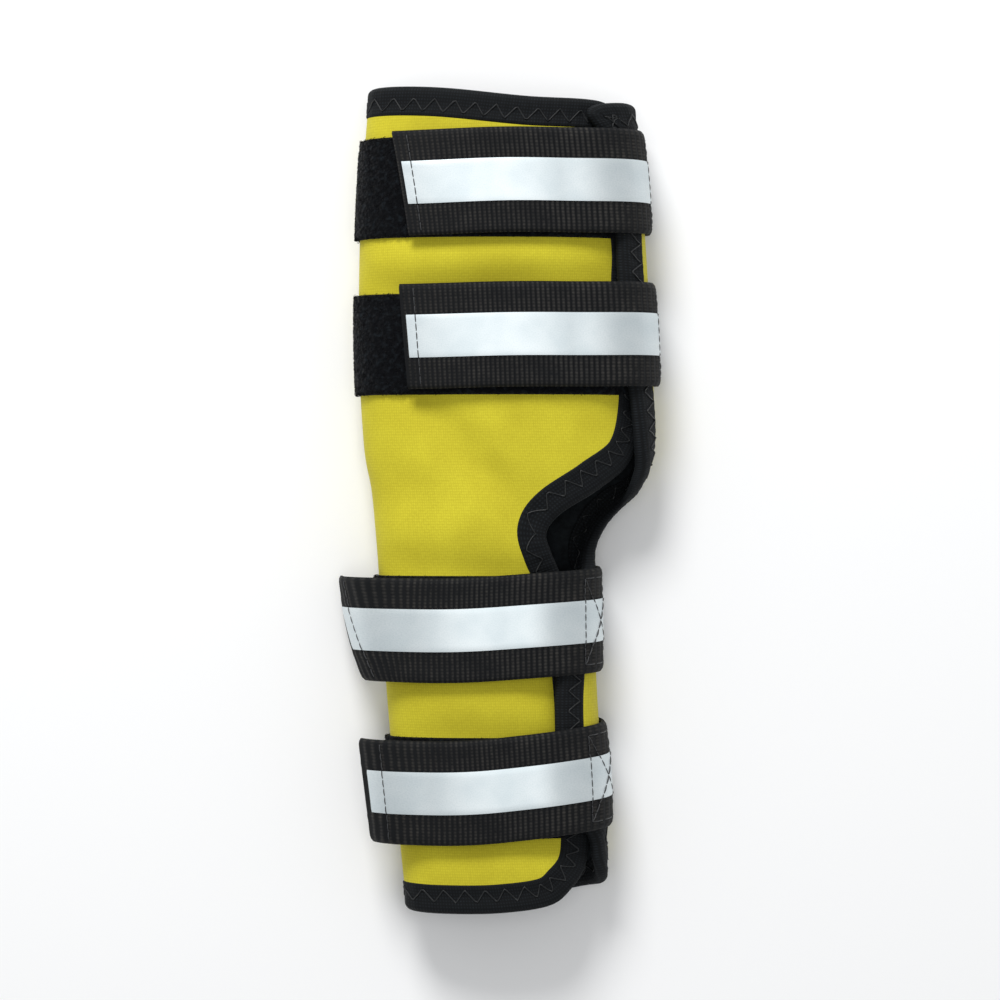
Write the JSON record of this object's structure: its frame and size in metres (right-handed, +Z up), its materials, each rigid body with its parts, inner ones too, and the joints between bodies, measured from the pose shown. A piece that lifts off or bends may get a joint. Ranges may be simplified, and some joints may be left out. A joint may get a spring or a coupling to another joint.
{
  "type": "wrist guard",
  "caption": "Soft wrap-round wrist support: a notched yellow sheet folded into a flat tube, with bound edges and wide touch-tape straps that carry reflective tape.",
  "frame": {"origin": "centre of the bounding box on the surface that the closed guard lies on, back down", "axes": "+Y along the arm towards the wide forearm end, +X across towards the strap-side fold, +Z up out of the front where the straps lie"},
  "size_m": [0.0949, 0.2384, 0.0385],
  "materials": {
    "yellow_neoprene": "matt jersey-faced neoprene, yellow",
    "black_lining": "matt black knit",
    "edge_binding": "black woven binding tape, zigzag stitched",
    "loop_pile": "deep black brushed loop pile",
    "black_webbing": "black ribbed webbing",
    "hook_tape": "black moulded hooks",
    "reflective_tape": "silver glass-bead reflective tape",
    "woven_label": "white woven satin, blank"
  },
  "bodies": {
    "sleeve": {"sleeve_outer": "yellow_neoprene", "sleeve_lining": "black_lining", "sleeve_binding": "edge_binding", "waist_binding": "edge_binding", "forearm_loop_patch_1": "loop_pile", "forearm_loop_patch_2": "loop_pile", "hand_loop_patch_1": "loop_pile", "hand_loop_patch_2": "loop_pile", "forearm_strap_1_sewn_end": "black_webbing", "forearm_strap_2_sewn_end": "black_webbing", "hand_strap_1_sewn_end": "black_webbing", "hand_strap_2_sewn_end": "black_webbing"},
    "forearm_flap": {"forearm_flap_outer": "yellow_neoprene", "forearm_flap_lining": "black_lining", "forearm_flap_binding": "edge_binding", "size_label": "woven_label", "forearm_strap_1_fold": "black_webbing", "forearm_strap_1_fold_reflector": "reflective_tape", "forearm_strap_2_fold": "black_webbing", "forearm_strap_2_fold_reflector": "reflective_tape"},
    "hand_flap": {"hand_flap_outer": "yellow_neoprene", "hand_flap_lining": "black_lining", "hand_flap_binding": "edge_binding", "hand_strap_1_fold": "black_webbing", "hand_strap_1_fold_reflector": "reflective_tape", "hand_strap_2_fold": "black_webbing", "hand_strap_2_fold_reflector": "reflective_tape"},
    "forearm_strap_1": {"forearm_strap_1_free_end": "black_webbing", "forearm_strap_1_reflector": "reflective_tape", "forearm_strap_1_hook_tape": "hook_tape"},
    "forearm_strap_2": {"forearm_strap_2_free_end": "black_webbing", "forearm_strap_2_reflector": "reflective_tape", "forearm_strap_2_hook_tape": "hook_tape"},
    "hand_strap_1": {"hand_strap_1_free_end": "black_webbing", "hand_strap_1_reflector": "reflective_tape", "hand_strap_1_hook_tape": "hook_tape"},
    "hand_strap_2": {"hand_strap_2_free_end": "black_webbing", "hand_strap_2_reflector": "reflective_tape", "hand_strap_2_hook_tape": "hook_tape"}
  },
  "joints": [
    {"name": "forearm_flap_fold", "type": "hinge", "parent": "sleeve", "child": "forearm_flap", "pos_m": [0.04525, 0.066, 0.01369], "axis": [-0.0505, 0.9987, 0], "range_deg": [0, 90]},
    {"name": "hand_flap_fold", "type": "hinge", "parent": "sleeve", "child": "hand_flap", "pos_m": [0.03112, -0.0635, 0.01375], "axis": [-0.0504, 0.9987, -0.0007], "range_deg": [0, 90]},
    {"name": "forearm_strap_1_lift", "type": "hinge", "parent": "forearm_flap", "child": "forearm_strap_1", "pos_m": [0.03331, 0.0918, 0.03025], "axis": [-0.0877, 0.9962, 0], "range_deg": [0, 100]},
    {"name": "forearm_strap_2_lift", "type": "hinge", "parent": "forearm_flap", "child": "forearm_strap_2", "pos_m": [0.03624, 0.0478, 0.03008], "axis": [-0.04, 0.9992, 0.0007], "range_deg": [0, 100]},
    {"name": "hand_strap_1_lift", "type": "hinge", "parent": "hand_flap", "child": "hand_strap_1", "pos_m": [0.0169, -0.0346, 0.03091], "axis": [0, 1, 0.0043], "range_deg": [0, 100]},
    {"name": "hand_strap_2_lift", "type": "hinge", "parent": "hand_flap", "child": "hand_strap_2", "pos_m": [0.01727, -0.0792, 0.03109], "axis": [-0.0466, 0.9989, 0.0093], "range_deg": [0, 100]}
  ]
}
